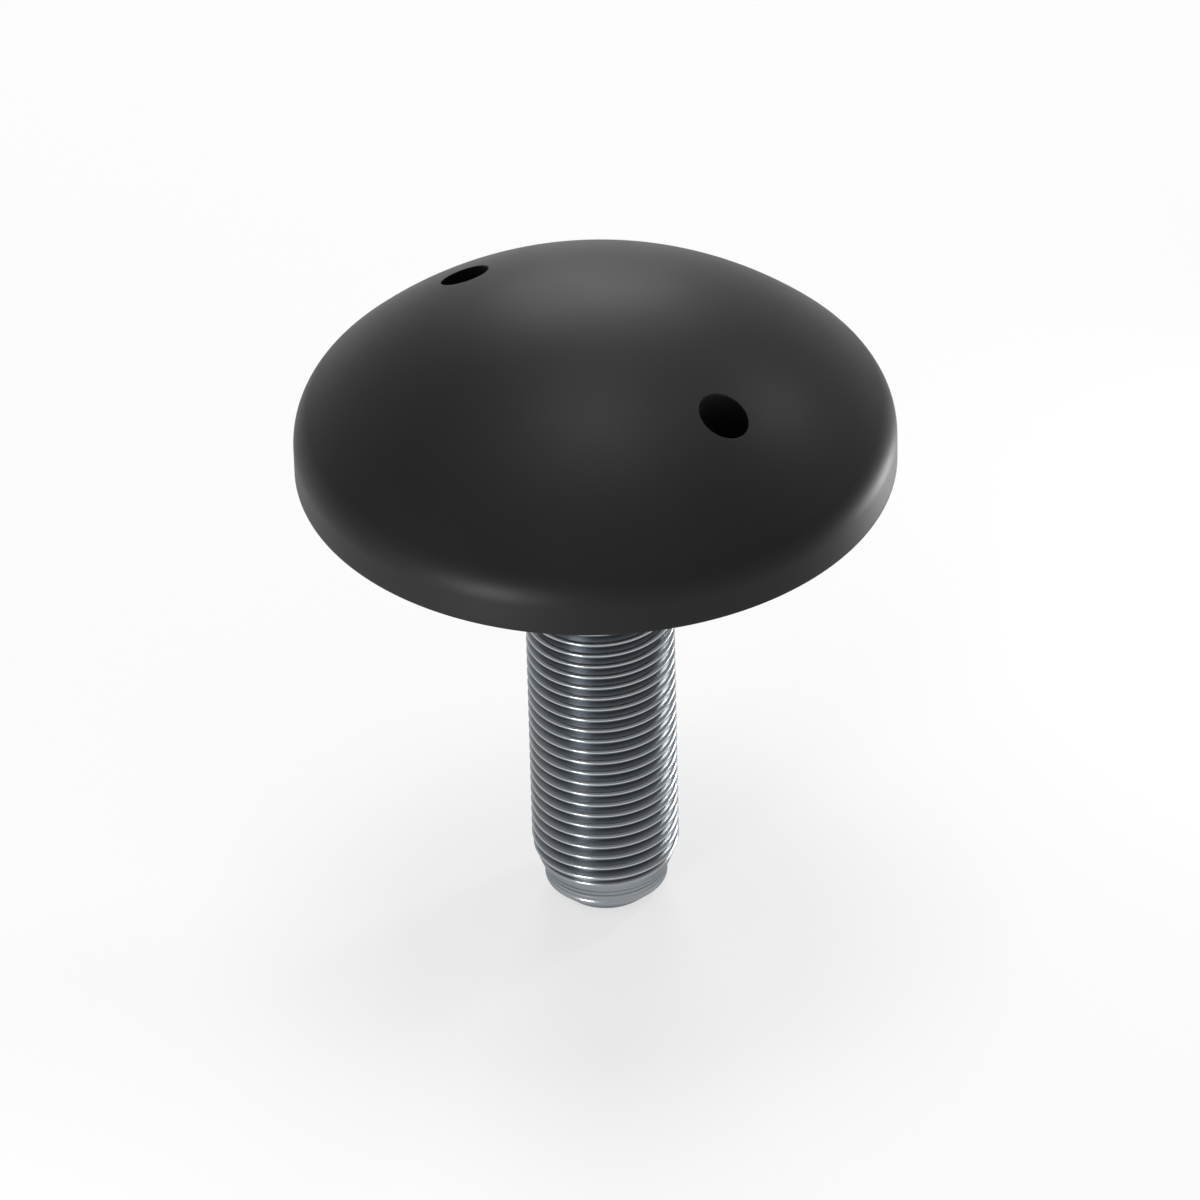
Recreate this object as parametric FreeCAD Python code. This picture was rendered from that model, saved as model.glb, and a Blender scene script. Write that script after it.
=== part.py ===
import FreeCAD, Part
import math
import os

from FreeCAD import Vector

# A domed bolt that two pins turn: a moulded black head on a zinc-plated steel stud.
# The origin is the centre of the head's flat underside. +Z points to the crown, and the stud runs down -Z.
# All sizes are in millimetres.

# Head
head_d = 63.5
head_h = 19.05
rim_h = 3.1
shoulder_r = 5.1
underside_edge = 0.1

# Two blind holes for the pins of a spanner, set on the X axis
pin_hole_d = 5.1
pin_circle_d = 38.2
pin_hole_depth = 8.7

# Thread: 5/8 inch, 18 turns to the inch, drawn as a blank at its outer diameter
thread_d = 15.875
thread_pitch = 25.4 / 18
thread_reach = 55.8
plain_neck_l = 2.1

# Tapered lead and chamfered point at the far end of the stud
lead_l = 3.65
point_d = 13.25
point_l = 2.7
tip_chamfer = 1.7

# Hexagonal collar on the stud, moulded into the head so that it can neither turn nor pull out
collar_flats = 23.8
collar_h = 9.9
collar_floor = 3.0
collar_chamfer_angle = 30.0

axis_origin = Vector(0, 0, 0)
up = Vector(0, 0, 1)


def at(r, z):
    """A point of a turned profile, at radius r and height z."""
    return Vector(r, 0, z)


def turned(edges):
    """The solid that a closed profile sweeps out around Z."""
    return Part.Face(Part.Wire(edges)).revolve(axis_origin, up, 360)


def dome_radius():
    """Radius of the crown that meets the rim's shoulder with no corner."""
    shoulder_x = head_d / 2 - shoulder_r
    drop = rim_h - head_h
    return (shoulder_r**2 - shoulder_x**2 - drop**2) / (2 * (drop + shoulder_r))


def dome_height(r):
    """Height of the crown above the underside, at radius r."""
    crown_r = dome_radius()
    return head_h - crown_r + math.sqrt(crown_r**2 - r**2)


def on_arc(centre, radius, angle):
    """A point of a profile arc, with the angle measured up from level."""
    return centre + at(radius * math.cos(angle), radius * math.sin(angle))


def head_blank():
    """The head before its holes: flat underside, upright rim, round shoulder and a spherical crown."""
    rim_r = head_d / 2
    crown_r = dome_radius()
    crown_centre = at(0, head_h - crown_r)
    shoulder_centre = at(rim_r - shoulder_r, rim_h)
    joint_angle = math.atan2(rim_h - crown_centre.z, rim_r - shoulder_r)

    apex = at(0, head_h)
    joint = on_arc(shoulder_centre, shoulder_r, joint_angle)
    crown_middle = on_arc(crown_centre, crown_r, (joint_angle + math.pi / 2) / 2)
    shoulder_middle = on_arc(shoulder_centre, shoulder_r, joint_angle / 2)
    rim_top = at(rim_r, rim_h)
    rim_bottom = at(rim_r, underside_edge)
    underside_end = at(rim_r - underside_edge, 0)
    return turned([
        Part.Arc(apex, crown_middle, joint).toShape(),
        Part.Arc(joint, shoulder_middle, rim_top).toShape(),
        Part.LineSegment(rim_top, rim_bottom).toShape(),
        Part.LineSegment(rim_bottom, underside_end).toShape(),
        Part.LineSegment(underside_end, axis_origin).toShape(),
        Part.LineSegment(axis_origin, apex).toShape(),
    ])


def pin_hole(side):
    """The room of one blind pin hole, open through the crown."""
    hole_x = pin_circle_d / 2
    floor_z = dome_height(hole_x) - pin_hole_depth
    return Part.makeCylinder(pin_hole_d / 2, head_h - floor_z, at(side * hole_x, floor_z))


def stud_shank():
    """The turned part of the stud, from inside the collar down to the blunt tip."""
    # a rolled thread stands as far above its blank as it sinks into it, so the plain neck is the pitch diameter
    neck_r = thread_d / 2 - 3 / 8 * math.sqrt(3) / 2 * thread_pitch
    thread_r = thread_d / 2
    point_r = point_d / 2
    neck_end = -plain_neck_l
    tip_z = -thread_reach
    outline = [
        at(0, collar_floor + collar_h / 2),
        at(neck_r, collar_floor + collar_h / 2),
        at(neck_r, neck_end),
        at(thread_r, neck_end - (thread_r - neck_r)),
        at(thread_r, tip_z + point_l + lead_l),
        at(point_r, tip_z + point_l),
        at(point_r, tip_z + tip_chamfer),
        at(point_r - tip_chamfer, tip_z),
        at(0, tip_z),
    ]
    return turned(Part.makePolygon(outline + outline[:1]).Edges)


def hexagonal_collar():
    """The buried collar, with the corners of its upper face turned off as on a bolt's head."""
    corner_r = collar_flats / 2 / math.cos(math.pi / 6)
    corners = [
        Vector(corner_r * math.cos(turn), corner_r * math.sin(turn), collar_floor)
        for turn in (math.pi / 3 * (n + 0.5) for n in range(6))
    ]
    prism = Part.Face(Part.makePolygon(corners + corners[:1])).extrude(up * collar_h)

    top_z = collar_floor + collar_h
    face_r = collar_flats / 2
    slope = math.tan(math.radians(collar_chamfer_angle))
    cone = [
        at(0, collar_floor),
        at(corner_r, collar_floor),
        at(corner_r, top_z - (corner_r - face_r) * slope),
        at(face_r, top_z),
        at(0, top_z),
    ]
    return prism.common(turned(Part.makePolygon(cone + cone[:1]).Edges))


def threaded_stud():
    """Steel stud and collar, forged as one piece."""
    return stud_shank().fuse(hexagonal_collar()).removeSplitter()


def domed_head(stud):
    """The head, moulded round the stud's collar and neck."""
    holes = [pin_hole(side) for side in (-1, 1)]
    return head_blank().cut(holes + [stud])


stud = threaded_stud()
nodes = {
    "threaded_stud": stud,
    "domed_head": domed_head(stud),
}

os.makedirs("parts", exist_ok=True)
for name, shape in nodes.items():
    shape.exportStep("parts/" + name + ".step")
    box = shape.BoundBox
    print(name, shape.isValid(), len(shape.Solids), round(shape.Volume, 1), round(box.ZMin, 3), round(box.ZMax, 3))
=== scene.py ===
import math

import bpy
from mathutils import Matrix, Vector
from mathutils.geometry import delaunay_2d_cdt


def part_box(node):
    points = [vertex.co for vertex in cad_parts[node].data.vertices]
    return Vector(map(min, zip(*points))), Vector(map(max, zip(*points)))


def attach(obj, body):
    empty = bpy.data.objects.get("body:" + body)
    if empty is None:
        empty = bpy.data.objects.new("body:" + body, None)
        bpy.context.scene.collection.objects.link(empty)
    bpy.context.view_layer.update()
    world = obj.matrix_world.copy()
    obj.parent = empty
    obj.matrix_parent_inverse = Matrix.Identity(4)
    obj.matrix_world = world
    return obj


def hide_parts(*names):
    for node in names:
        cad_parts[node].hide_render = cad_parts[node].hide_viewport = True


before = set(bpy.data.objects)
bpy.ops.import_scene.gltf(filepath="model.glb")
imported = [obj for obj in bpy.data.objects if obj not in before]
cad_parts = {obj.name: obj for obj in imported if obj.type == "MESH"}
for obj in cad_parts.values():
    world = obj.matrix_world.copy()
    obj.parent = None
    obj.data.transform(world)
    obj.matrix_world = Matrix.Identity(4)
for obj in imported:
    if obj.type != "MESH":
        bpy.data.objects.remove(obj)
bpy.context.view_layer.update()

# A domed bolt standing on its blunt tip: a black moulded head on a zinc-plated threaded stud.
# Everything is in metres, with the origin at the centre of the head's flat underside.
mm = 0.001

head_low, head_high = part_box("domed_head")
stud_low, stud_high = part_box("threaded_stud")

# Head
rim_r = head_high.x
crown_z = head_high.z
rim_h = 3.1 * mm
shoulder_r = 5.1 * mm
underside_edge = 0.1 * mm

# Pin holes, on the X axis
pin_hole_r = 2.55 * mm
pin_circle_r = 19.1 * mm
pin_hole_depth = 8.7 * mm
pin_hole_lip = 0.07 * mm

# Thread and the two ends of the stud
thread_r = 7.9375 * mm
thread_pitch = 25.4 / 18 * mm
neck_r = thread_r - 3 / 8 * math.sqrt(3) / 2 * thread_pitch
neck_end_z = -2.1 * mm
run_out_turns = 1.6
thread_start = 0.42
tip_z = stud_low.z
point_r = 6.625 * mm
point_top_z = tip_z + 2.7 * mm
lead_top_z = point_top_z + 3.65 * mm
tip_chamfer = 1.7 * mm

# Section of the thread: flat crest, 60 degree flanks and a round root
crest_half = thread_pitch / 16
root_fillet = 0.144 * thread_pitch
root_half = root_fillet * math.cos(math.radians(30))
root_radius = thread_r - math.sqrt(3) * thread_pitch * 7 / 16 + root_fillet

# Painted shade on the zinc, from 0 on the crests, which carry a painted highlight, to 1 in the root of the
# thread
neck_painted_shade = 0.25
lead_painted_shade = 0.2

# Shallow rings turned on the plain end of the stud, from the chamfer up to where the thread begins
ring_count = 3
ring_depth = 0.085 * mm
ring_low_z = tip_z + tip_chamfer + 0.2 * mm
ring_high_z = point_top_z + (root_radius - point_r) * (lead_top_z - point_top_z) / (thread_r - point_r)

# Hexagonal collar inside the head
collar_top_z = stud_high.z
collar_floor_z = 3.0 * mm
collar_flat_r = 11.9 * mm

# Rounding of the pocket's mouth, where the stud leaves the head, and of the two edges of the tip
pocket_mouth_r = 0.12 * mm
tip_edge_r = 0.18 * mm

# Columns of vertices around the head, the stud and each pin hole
head_columns = 288
stud_columns = 144
hole_columns = 72
hole_centres = [(-pin_circle_r, 0.0), (pin_circle_r, 0.0)]


def crown_radius():
    """Radius of the crown that meets the shoulder with no corner."""
    shoulder_x = rim_r - shoulder_r
    drop = rim_h - crown_z
    return (shoulder_r**2 - shoulder_x**2 - drop**2) / (2 * (drop + shoulder_r))


crown_r = crown_radius()
crown_centre_z = crown_z - crown_r
joint_angle = math.atan2(rim_h - crown_centre_z, rim_r - shoulder_r)
joint_r = crown_r * math.cos(joint_angle)


def crown_height(x, y):
    """Height of the crown over a point of the underside."""
    return crown_centre_z + math.sqrt(crown_r**2 - x * x - y * y)


def arc(centre_r, centre_z, radius, start, end, steps):
    """Points (r, z) along an arc of a turned profile, ends included."""
    points = []
    for n in range(steps + 1):
        angle = start + (end - start) * n / steps
        points.append((centre_r + radius * math.cos(angle), centre_z + radius * math.sin(angle)))
    return points


def softened(points, radius):
    """A profile of straight runs with each inner corner rounded to the given radius."""
    steps = 4
    result = [points[0]]
    for before, corner, after in zip(points, points[1:], points[2:]):
        here = Vector(corner)
        back = Vector(before) - here
        ahead = Vector(after) - here
        half_turn = back.angle(ahead) / 2
        cut = min(radius / math.tan(half_turn), back.length * 0.45, ahead.length * 0.45)
        start = here + back.normalized() * cut
        end = here + ahead.normalized() * cut
        for n in range(steps + 1):
            t = n / steps
            result.append(tuple(start * (1 - t) ** 2 + here * 2 * t * (1 - t) + end * t * t))
    result.append(points[-1])
    return result


class MeshBuilder:
    """Gathers vertices and faces, ring by ring, into one closed mesh."""

    def __init__(self):
        self.points = []
        self.faces = []

    def add(self, x, y, z):
        self.points.append((x, y, z))
        return len(self.points) - 1

    def ring(self, radius, z, columns):
        """A ring of vertices around Z. The radius is a number, or a function of the angle."""
        made = []
        for column in range(columns):
            angle = 2 * math.pi * column / columns
            r = radius(angle) if callable(radius) else radius
            made.append(self.add(r * math.cos(angle), r * math.sin(angle), z))
        return made

    def join(self, first, second):
        """A band of faces between two rings. It faces outwards when the second ring is the higher one."""
        count = len(first)
        for n in range(count):
            after = (n + 1) % count
            self.faces.append((first[n], first[after], second[after], second[n]))

    def turn(self, start, profile, columns):
        """Bands along a profile that goes on from the ring called start. Returns the last ring."""
        for radius, z in profile:
            ring = self.ring(radius, z, columns)
            self.join(start, ring)
            start = ring
        return start

    def cap(self, ring, x, y, z):
        """A fan that closes a ring at a centre point."""
        centre = self.add(x, y, z)
        count = len(ring)
        for n in range(count):
            self.faces.append((ring[n], ring[(n + 1) % count], centre))

    def build(self, name, material):
        mesh = bpy.data.meshes.new(name)
        mesh.from_pydata(self.points, [], self.faces)
        mesh.validate()
        mesh.shade_smooth()
        piece = bpy.data.objects.new(name, mesh)
        bpy.context.scene.collection.objects.link(piece)
        piece.data.materials.append(material)
        return piece


def hexagon(flat_r):
    """Radius of a hexagon as a function of the angle, with a corner at 30 degrees and at each 60 more."""
    def radius(angle):
        return flat_r / math.cos((angle + math.pi / 6) % (math.pi / 3) - math.pi / 6)
    return radius


def collar_profile():
    """The buried collar as rings from the stud's neck up to its top face, whose corners are turned off."""
    corner_r = collar_flat_r / math.cos(math.pi / 6)
    chamfer_h = (corner_r - collar_flat_r) * math.tan(math.radians(30))
    straight = hexagon(collar_flat_r)

    def turned_off(step):
        limit = corner_r - (corner_r - collar_flat_r) * step
        return lambda angle: min(straight(angle), limit)

    rings = [(straight, collar_floor_z), (straight, collar_top_z - chamfer_h)]
    for n in range(1, 5):
        rings.append((turned_off(n / 4), collar_top_z - chamfer_h * (1 - n / 4)))
    return rings


def circle(cx, cy, radius, count, turned_by=0.0):
    """Plan points of a circle, with its start turned by a share of one step."""
    points = []
    for n in range(count):
        angle = 2 * math.pi * (n + turned_by) / count
        points.append((cx + radius * math.cos(angle), cy + radius * math.sin(angle)))
    return points


def off_the_holes(x, y, radius):
    """Whether a plan point lies outside a circle of the given radius round each pin hole."""
    return all(math.hypot(x - cx, y - cy) > radius for cx, cy in hole_centres)


def crown_points():
    """Plan points of the crown inside its outer ring: even rings, and finer rings round the two holes."""
    spacing = 0.72 * mm
    near_holes = [pin_hole_r + pin_hole_lip + step * mm for step in (0.12, 0.3, 0.6, 1.0, 1.5)]
    clear_r = near_holes[-1] + spacing * 0.6
    rings = int(joint_r / spacing)
    points = []
    for n in range(rings):
        radius = joint_r * n / rings
        count = max(1, int(2 * math.pi * radius / spacing))
        points += [p for p in circle(0, 0, radius, count, 0.5 * (n % 2)) if off_the_holes(*p, clear_r)]
    for cx, cy in hole_centres:
        for radius in near_holes:
            points += circle(cx, cy, radius, hole_columns)
    return points


def add_crown(builder, outer_ring):
    """The crown as one fine triangle net, with the two blind holes let into it."""
    lip_r = pin_hole_r + pin_hole_lip
    edges = [[builder.points[i][:2] for i in outer_ring]]
    edges += [circle(cx, cy, lip_r, hole_columns) for cx, cy in hole_centres]
    loops = []
    start = 0
    for edge in edges:
        count = len(edge)
        loops += [(start + n, start + (n + 1) % count) for n in range(count)]
        start += count
    plan = [Vector(point) / mm for point in sum(edges, []) + crown_points()]
    places, _, triangles, origin, _, _ = delaunay_2d_cdt(plan, loops, [], 0, 1e-6)

    outer_count = len(outer_ring)
    index = []
    lips = [[None] * hole_columns for _ in hole_centres]
    for place, sources in zip(places, origin):
        source = min(sources)
        if source < outer_count:
            index.append(outer_ring[source])
            continue
        x = place.x * mm
        y = place.y * mm
        index.append(builder.add(x, y, crown_height(x, y)))
        which, step = divmod(source - outer_count, hole_columns)
        if which < len(lips):
            lips[which][step] = index[-1]
    for triangle in triangles:
        corners = [places[n] * mm for n in triangle]
        middle = sum(corners, Vector((0, 0))) / 3
        if off_the_holes(middle.x, middle.y, lip_r * 0.999):
            builder.faces.append(tuple(index[n] for n in triangle))
    for (cx, cy), lip in zip(hole_centres, lips):
        add_pin_hole(builder, cx, cy, lip)


def add_pin_hole(builder, cx, cy, lip):
    """One blind hole below its lip: a rounded edge, a straight wall and a flat floor with a fillet."""
    floor_z = crown_height(cx, cy) - pin_hole_depth
    corner = 0.3 * mm
    steps = 5
    wall_rows = 12

    def lower(ring, radius, height):
        made = [builder.add(x, y, height(x, y)) for x, y in circle(cx, cy, radius, hole_columns)]
        builder.join(ring, made)
        return made

    ring = lip
    for n in range(1, steps + 1):
        turn = math.pi / 2 * n / steps
        drop = pin_hole_lip * (1 - math.cos(turn))
        radius = pin_hole_r + pin_hole_lip * (1 - math.sin(turn))
        ring = lower(ring, radius, lambda x, y: crown_height(x, y) - drop)
    for n in range(1, wall_rows + 1):
        share = n / wall_rows
        ring = lower(ring, pin_hole_r, lambda x, y: (crown_height(x, y) - pin_hole_lip) * (1 - share)
                     + (floor_z + corner) * share)
    for n in range(1, steps + 1):
        turn = math.pi / 2 * n / steps
        radius = pin_hole_r - corner * (1 - math.cos(turn))
        ring = lower(ring, radius, lambda x, y: floor_z + corner * (1 - math.sin(turn)))
    ring = lower(ring, pin_hole_r * 0.5, lambda x, y: floor_z)
    builder.cap(ring, cx, cy, floor_z)


def make_head(material):
    """The moulded head: pocket for the stud, flat underside, rim, shoulder and crown."""
    builder = MeshBuilder()
    top = builder.ring(collar_flat_r * 0.5, collar_top_z, head_columns)
    builder.cap(list(reversed(top)), 0, 0, collar_top_z)
    pocket = list(reversed(collar_profile()))
    pocket += [(neck_r, z) for z in (collar_floor_z, collar_floor_z / 2, pocket_mouth_r)]
    ring = builder.turn(top, pocket, head_columns)
    mouth = arc(neck_r + pocket_mouth_r, pocket_mouth_r, pocket_mouth_r, math.pi, 1.5 * math.pi, 3)[1:]
    flat = [(neck_r + (rim_r - underside_edge - neck_r) * n / 24, 0.0) for n in range(1, 25)]
    edge = arc(rim_r - underside_edge, underside_edge, underside_edge, -math.pi / 2, 0, 5)[1:]
    wall = [(rim_r, underside_edge + (rim_h - underside_edge) * n / 5) for n in range(1, 6)]
    shoulder = arc(rim_r - shoulder_r, rim_h, shoulder_r, 0, joint_angle, 18)[1:]
    ring = builder.turn(ring, mouth + flat + edge + wall + shoulder, head_columns)
    add_crown(builder, ring)
    return builder.build("moulded_head", material)


def thread_section(offset):
    """Radius of the thread's surface, at an axial distance from the middle of its nearest crest."""
    distance = abs(offset)
    from_root = thread_pitch / 2 - distance
    if from_root < root_half:
        return root_radius + root_fillet - math.sqrt(root_fillet**2 - from_root**2)
    return thread_r - max(0.0, distance - crest_half) * math.sqrt(3)


def cone_radius(z):
    """Radius of the lead's cone at a height, carried on above and below it."""
    return point_r + (z - point_top_z) * (thread_r - point_r) / (lead_top_z - point_top_z)


def ring_cut(z):
    """Depth of the turned rings at a height."""
    if not ring_low_z < z < ring_high_z:
        return 0.0
    share = (z - ring_low_z) / (ring_high_z - ring_low_z)
    return ring_depth * (0.5 - 0.5 * math.cos(2 * math.pi * ring_count * share))


def stud_radius(angle, z):
    """Radius of the stud at an angle and a height, from the lead's cone up to the plain neck."""
    turns = angle / (2 * math.pi)
    offset = ((z - point_top_z) / thread_pitch - turns + thread_start + 0.5) % 1.0 - 0.5
    rise = thread_section(offset * thread_pitch) - neck_r
    rolled = min(1.0, max(0.0, (neck_end_z - z) / (run_out_turns * thread_pitch)))
    return min(neck_r + rise * rolled, cone_radius(z) - ring_cut(z))


def paint_groove_shade(piece):
    """Stores each vertex's painted shade: 0 on the thread's crests, which carry a painted highlight, 1 in
    its root and on the tip's chamfer, which are painted dark.
    """
    whole = thread_r - root_radius
    depth = piece.data.attributes.new("painted_groove_shade", "FLOAT", "POINT")
    for vertex, mark in zip(piece.data.vertices, depth.data):
        x, y, z = vertex.co
        # Painted shade: a set share on the plain neck and the lead, deeper down into the root of the
        # thread
        if z > neck_end_z:
            mark.value = neck_painted_shade
            continue
        outer = min(thread_r, max(point_r, cone_radius(z)))
        cut = min(1.0, (thread_r - outer) / whole)
        sunk = 0.0
        if z > point_top_z:
            sunk = (outer - math.hypot(x, y)) / max(outer - root_radius, whole * 0.2)
        # The tip's chamfer is painted fully dark
        elif z < tip_z + tip_chamfer * 0.9:
            sunk = 1.0
        mark.value = max(sunk, cut * lead_painted_shade)


def pitch_rows():
    """Heights of the rows of vertices within one pitch, from the middle of one crest to the next."""
    middle = thread_pitch / 2
    half = [
        0.0,
        crest_half * 0.8,
        crest_half * 1.2,
        crest_half + (middle - root_half - crest_half) * 0.5,
        middle - root_half,
        middle - root_half * 0.62,
        middle - root_half * 0.25,
    ]
    return half + [middle] + [thread_pitch - u for u in reversed(half[1:])]


def add_thread(builder, bottom_z, top_limit_z):
    """The helical net of the thread between two flat rings. Returns the bottom and the top ring."""
    rows = pitch_rows()
    per_turn = len(rows)
    turns = int((top_limit_z - bottom_z) / thread_pitch) - 1
    columns = stud_columns
    pitch = thread_pitch

    def vertex(column, z):
        angle = 2 * math.pi * column / columns
        r = stud_radius(angle, z)
        return builder.add(r * math.cos(angle), r * math.sin(angle), z)

    # the helical rows, each a full turn that climbs by one pitch
    heights = [turn * pitch + u for turn in range(turns + 2) for u in rows]
    last = turns * per_turn
    net = {}
    for k in range(last + 1):
        for column in range(columns):
            net[k, column] = vertex(column, bottom_z + heights[k] + pitch * column / columns)
    # the wedge above them, which narrows to nothing over one turn and ends in a flat ring
    top_z = bottom_z + heights[last]
    for q in range(1, per_turn + 1):
        rise = heights[last + q] - heights[last]
        for column in range(columns):
            z = top_z + pitch * column / columns + rise * (1 - column / columns)
            net[last + q, column] = vertex(column, z)
    # the wedge below them, which opens from nothing over one turn above a flat ring
    low = {}
    for q in range(per_turn):
        low[q, 0] = net[0, 0]
        for column in range(1, columns):
            low[q, column] = vertex(column, bottom_z + heights[q] * column / columns)
    for column in range(columns):
        low[per_turn, column] = net[0, column]

    def corner(k, column):
        if column < columns:
            return net[k, column]
        return net[min(k, last) + per_turn, 0]

    def low_corner(q, column):
        return low[q, column] if column < columns else net[q, 0]

    def add_faces(at, row_count):
        for row in range(row_count):
            for column in range(columns):
                face = [at(row, column), at(row, column + 1), at(row + 1, column + 1), at(row + 1, column)]
                builder.faces.append(tuple(dict.fromkeys(face)))

    add_faces(corner, last + per_turn)
    add_faces(low_corner, per_turn)
    bottom_ring = [low[0, column] for column in range(columns)]
    top_ring = [net[last + per_turn, column] for column in range(columns)]
    return bottom_ring, top_ring


def make_stud(material):
    """The stud: blunt tip, tapered lead, right-hand thread, plain neck and buried collar."""
    builder = MeshBuilder()
    bottom, top = add_thread(builder, point_top_z, 0.0)
    neck_z = builder.points[top[0]][2]
    shaft = [(neck_r, z) for z in (neck_z * 0.5, 0.0, collar_floor_z * 0.5, collar_floor_z)]
    collar = collar_profile() + [(collar_flat_r * 0.5, collar_top_z)]
    ring = builder.turn(top, shaft + collar, stud_columns)
    builder.cap(ring, 0, 0, collar_top_z)
    outline = softened([
        (point_r, point_top_z),
        (point_r, tip_z + tip_chamfer),
        (point_r - tip_chamfer, tip_z),
        (0.0, tip_z),
    ], tip_edge_r)
    point_rows = 18
    heights = [point_top_z + (ring_low_z - point_top_z) * (n + 1) / point_rows for n in range(point_rows)]
    rows = [(point_r - ring_cut(z), z) for z in heights]
    rows += outline[1:-1] + [(point_r * 0.6, tip_z), (point_r * 0.3, tip_z)]
    ring = bottom
    for radius, z in rows:
        lower = builder.ring(radius, z, stud_columns)
        builder.join(lower, ring)
        ring = lower
    builder.cap(list(reversed(ring)), 0, 0, tip_z)
    piece = builder.build("zinc_plated_stud", material)
    paint_groove_shade(piece)
    return piece


def new_material(name):
    """An empty node material. Returns the material, its nodes and links, and its shader."""
    material = bpy.data.materials.new(name)
    material.use_nodes = True
    nodes = material.node_tree.nodes
    return material, nodes, material.node_tree.links, nodes["Principled BSDF"]


def noise(nodes, links, vector, scale, detail):
    """A noise texture read at a vector."""
    node = nodes.new("ShaderNodeTexNoise")
    node.inputs["Scale"].default_value = scale
    node.inputs["Detail"].default_value = detail
    links.new(vector, node.inputs["Vector"])
    return node.outputs["Fac"]


def span(nodes, links, value, low, high, out_low, out_high):
    """A value carried from one range to another, and held at its ends."""
    node = nodes.new("ShaderNodeMapRange")
    for name, number in (("From Min", low), ("From Max", high), ("To Min", out_low), ("To Max", out_high)):
        node.inputs[name].default_value = number
    links.new(value, node.inputs["Value"])
    return node.outputs["Result"]


def colour_ramp(nodes, links, share, stops):
    """A colour that runs through the given stops as a value goes from 0 to 1."""
    ramp = nodes.new("ShaderNodeValToRGB")
    elements = ramp.color_ramp.elements
    for _ in stops[2:]:
        elements.new(0.5)
    for element, (position, colour) in zip(elements, stops):
        element.position = position
        element.color = (*colour, 1)
    links.new(share, ramp.inputs["Fac"])
    return ramp.outputs["Color"]


def bump(nodes, links, height, distance, strength):
    """A bump of the given height in metres."""
    node = nodes.new("ShaderNodeBump")
    node.inputs["Distance"].default_value = distance
    node.inputs["Strength"].default_value = strength
    links.new(height, node.inputs["Height"])
    return node.outputs["Normal"]


def black_moulding():
    """Satin black plastic with the fine even grain of a mould."""
    material, nodes, links, shader = new_material("black_moulding")
    place = nodes.new("ShaderNodeTexCoord").outputs["Object"]
    flow = noise(nodes, links, place, 60, 3)
    grain = noise(nodes, links, place, 5200, 2)
    stops = [(0.3, (0.0105, 0.0105, 0.011)), (0.7, (0.0125, 0.0125, 0.013))]
    links.new(colour_ramp(nodes, links, flow, stops), shader.inputs["Base Color"])
    links.new(span(nodes, links, flow, 0.3, 0.7, 0.43, 0.49), shader.inputs["Roughness"])
    links.new(bump(nodes, links, grain, 0.02 * mm, 0.25), shader.inputs["Normal"])
    shader.inputs["IOR"].default_value = 1.5
    shader.inputs["Specular IOR Level"].default_value = 0.2
    return material


def zinc_plate():
    """Blue-white zinc, with a painted highlight on the crests and painted shade down in the grooves."""
    material, nodes, links, shader = new_material("zinc_plated_steel")
    place = nodes.new("ShaderNodeTexCoord").outputs["Object"]
    # Colour from the stored painted shade: a painted highlight on the crests, painted shade down in the
    # root and on the tip's chamfer
    painted_groove_shade = nodes.new("ShaderNodeAttribute")
    painted_groove_shade.attribute_name = "painted_groove_shade"
    depth = painted_groove_shade.outputs["Fac"]
    stops = [
        (0.0, (0.52, 0.545, 0.565)),
        (0.08, (0.365, 0.385, 0.405)),
        (0.5, (0.225, 0.243, 0.26)),
        (0.95, (0.105, 0.115, 0.126)),
    ]
    links.new(colour_ramp(nodes, links, depth, stops), shader.inputs["Base Color"])
    cloud = noise(nodes, links, place, 400, 4)
    roughness = span(nodes, links, depth, 0.1, 0.7, 0.2, 0.34)
    links.new(span(nodes, links, cloud, 0.3, 0.7, 0.17, 0.27), roughness.node.inputs["To Min"])
    links.new(roughness, shader.inputs["Roughness"])
    stretch = nodes.new("ShaderNodeMapping")
    stretch.inputs["Scale"].default_value = (1, 1, 14)
    links.new(place, stretch.inputs["Vector"])
    lines = noise(nodes, links, stretch.outputs["Vector"], 700, 3)
    links.new(bump(nodes, links, lines, 0.01 * mm, 0.3), shader.inputs["Normal"])
    shader.inputs["Metallic"].default_value = 1.0
    shader.inputs["Specular Tint"].default_value = (0.55, 0.57, 0.59, 1)
    return material


# Camera: turned about the bolt's axis, tipped down and slightly rolled, as far off as the photograph's
view_turn = math.radians(45.77)
view_down = math.radians(35.68)
view_roll = math.radians(-1.48)
view_left = -0.0138 * rim_r
view_up = 0.4679 * rim_r
view_rim_radii = 32.95
view_distance = view_rim_radii * rim_r

# The square image is this many pixels wide, and the head's radius covers this many of them
image_width = 1200
rim_pixels = 301.58
focal_pixels = rim_pixels * view_rim_radii
sensor_width = 36.0

# Light of the studio at the level of the horizon and overhead, and the slopes at which each begins
horizon_level = 0.65
ceiling_level = 0.4
horizon_slope = 0.05
ceiling_slope = 0.35

# Lamps: bearing and height in degrees, then distance, width and depth in metres, and power in watts
lamps = {
    "top_light": (90, 80, 1.0, 0.42, 0.42, 3.1),
    "back_light": (90, 28, 1.0, 0.42, 0.42, 2.7),
    "right_light": (36, 40, 1.0, 0.14, 0.14, 1.1),
    "low_right_light": (26, -13, 0.125, 0.05, 0.022, 0.05),
    "front_left_light": (234, -2, 0.2, 0.055, 0.06, 0.195),
}

# Floor, a little below the tip so that the two faces don't meet, and the two parts of its white
floor_half = 3.0
floor_gap = 0.02 * mm
floor_white = 0.36
floor_glow = 0.63


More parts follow.
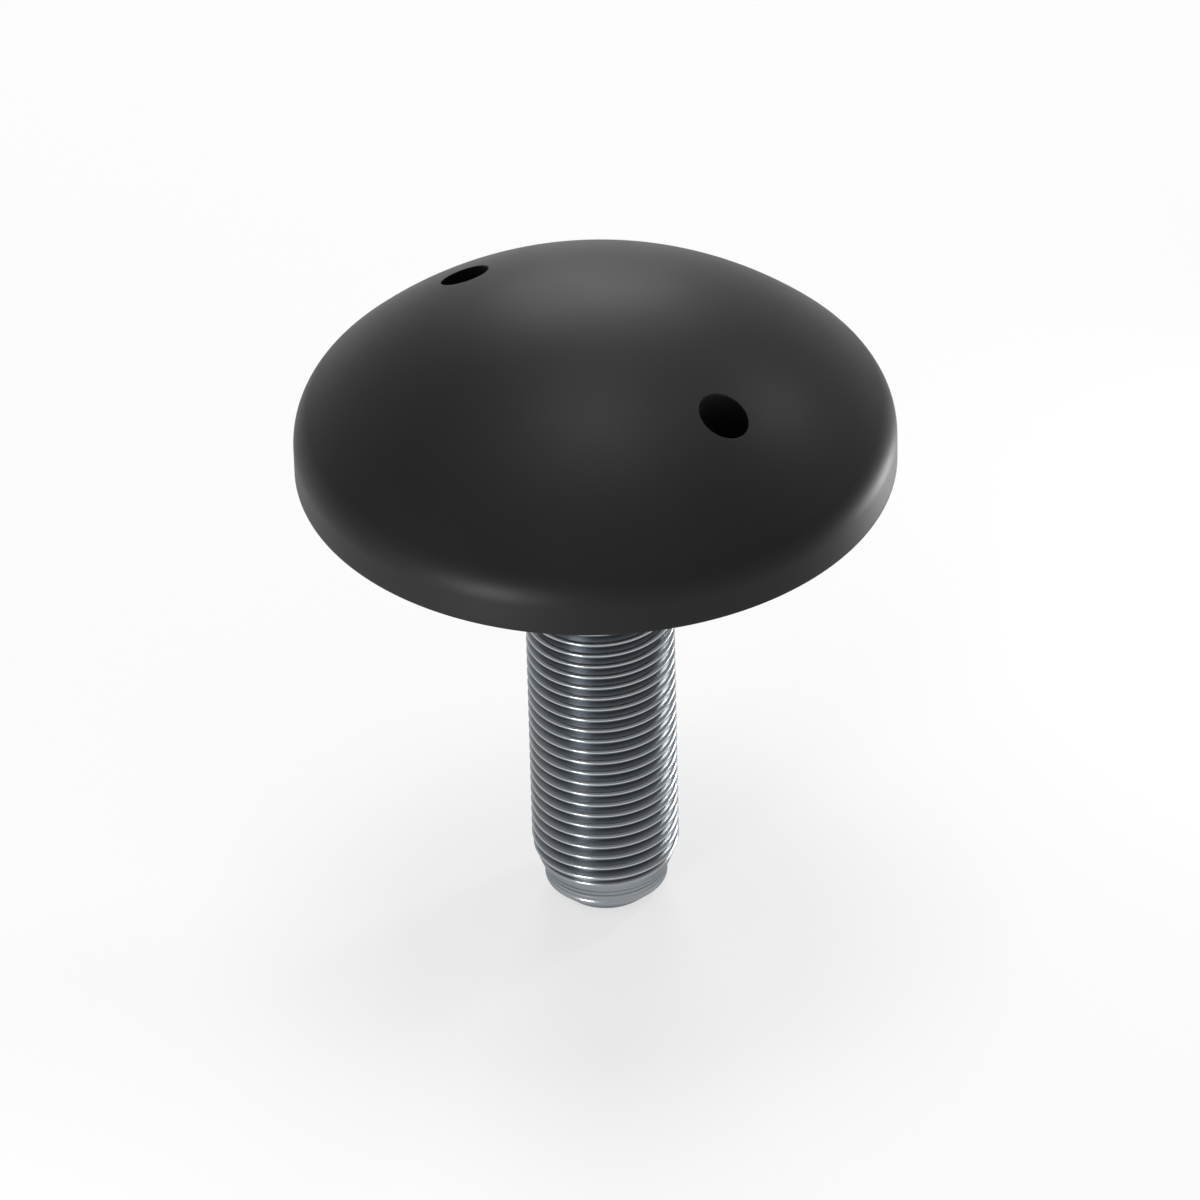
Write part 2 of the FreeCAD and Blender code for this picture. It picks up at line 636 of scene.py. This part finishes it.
def add_camera():
    """The camera, placed so that the bolt stands where it does in the photograph."""
    turn = Matrix.Rotation(view_turn, 3, "Z")
    ahead = turn @ Vector((0, math.cos(view_down), -math.sin(view_down)))
    level = turn @ Vector((1, 0, 0))
    above = turn @ Vector((0, math.sin(view_down), math.cos(view_down)))
    right = level * math.cos(view_roll) + above * math.sin(view_roll)
    up = above * math.cos(view_roll) - level * math.sin(view_roll)
    data = bpy.data.cameras.new("camera")
    data.sensor_width = sensor_width
    data.lens = focal_pixels / image_width * sensor_width
    data.clip_start = 0.01
    data.clip_end = 20
    camera = bpy.data.objects.new("camera", data)
    place = -(right * view_left + up * view_up + ahead * view_distance)
    camera.matrix_world = Matrix.Translation(place) @ Matrix((right, up, -ahead)).transposed().to_4x4()
    bpy.context.scene.collection.objects.link(camera)
    bpy.context.scene.camera = camera


def add_softbox(name, bearing, height, distance, width, depth, power):
    """A soft light that faces the bolt, from a bearing off the camera's right and a height above level."""
    data = bpy.data.lights.new(name, "AREA")
    data.shape = "RECTANGLE"
    data.size = width
    data.size_y = depth
    data.energy = power
    light = bpy.data.objects.new(name, data)
    bearing = math.radians(bearing) + view_turn
    height = math.radians(height)
    direction = Vector((
        math.cos(bearing) * math.cos(height),
        math.sin(bearing) * math.cos(height),
        math.sin(height),
    ))
    target = Vector((0, 0, tip_z / 3))
    light.location = target + direction * distance
    light.rotation_euler = direction.to_track_quat("Z", "Y").to_euler()
    light.visible_camera = False
    bpy.context.scene.collection.objects.link(light)


def seen_directly(nodes, links):
    """1 for rays from the camera and for those that gloss or glass sends on."""
    path = nodes.new("ShaderNodeLightPath")
    total = path.outputs["Is Camera Ray"]
    for name in ("Is Glossy Ray", "Is Transmission Ray"):
        add = nodes.new("ShaderNodeMath")
        add.operation = "MAXIMUM"
        links.new(total, add.inputs[0])
        links.new(path.outputs[name], add.inputs[1])
        total = add.outputs["Value"]
    return total


def set_world():
    """A plain studio all round: pale at the level of the horizon and dimmer overhead."""
    world = bpy.data.worlds.new("studio")
    bpy.context.scene.world = world
    world.use_nodes = True
    nodes = world.node_tree.nodes
    links = world.node_tree.links
    direction = nodes.new("ShaderNodeSeparateXYZ")
    links.new(nodes.new("ShaderNodeTexCoord").outputs["Generated"], direction.inputs["Vector"])
    background = nodes["Background"]
    background.inputs["Color"].default_value = (1, 1, 1, 1)
    slope = direction.outputs["Z"]
    strength = span(nodes, links, slope, horizon_slope, ceiling_slope, horizon_level, ceiling_level)
    links.new(strength, background.inputs["Strength"])


def add_floor():
    """A wide pale floor just under the tip. Part of its white is its own, so its shadows stay light."""
    half = floor_half
    corners = [(-half, -half, 0), (half, -half, 0), (half, half, 0), (-half, half, 0)]
    mesh = bpy.data.meshes.new("floor")
    mesh.from_pydata(corners, [], [(0, 1, 2, 3)])
    floor = bpy.data.objects.new("floor", mesh)
    floor.location.z = tip_z - floor_gap
    bpy.context.scene.collection.objects.link(floor)
    material, nodes, links, shader = new_material("pale_floor")
    shader.inputs["Base Color"].default_value = (floor_white, floor_white, floor_white, 1)
    shader.inputs["Roughness"].default_value = 0.9
    shader.inputs["Specular IOR Level"].default_value = 0.0
    shader.inputs["Emission Color"].default_value = (1, 1, 1, 1)
    glow = span(nodes, links, seen_directly(nodes, links), 0, 1, 0, floor_glow)
    links.new(glow, shader.inputs["Emission Strength"])
    floor.data.materials.append(material)


head = make_head(black_moulding())
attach(head, "root")
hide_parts("domed_head")

stud = make_stud(zinc_plate())
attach(stud, "root")
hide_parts("threaded_stud")

add_camera()
add_floor()
set_world()
for lamp, placing in lamps.items():
    add_softbox(lamp, *placing)

bpy.context.scene.view_settings.view_transform = "Standard"
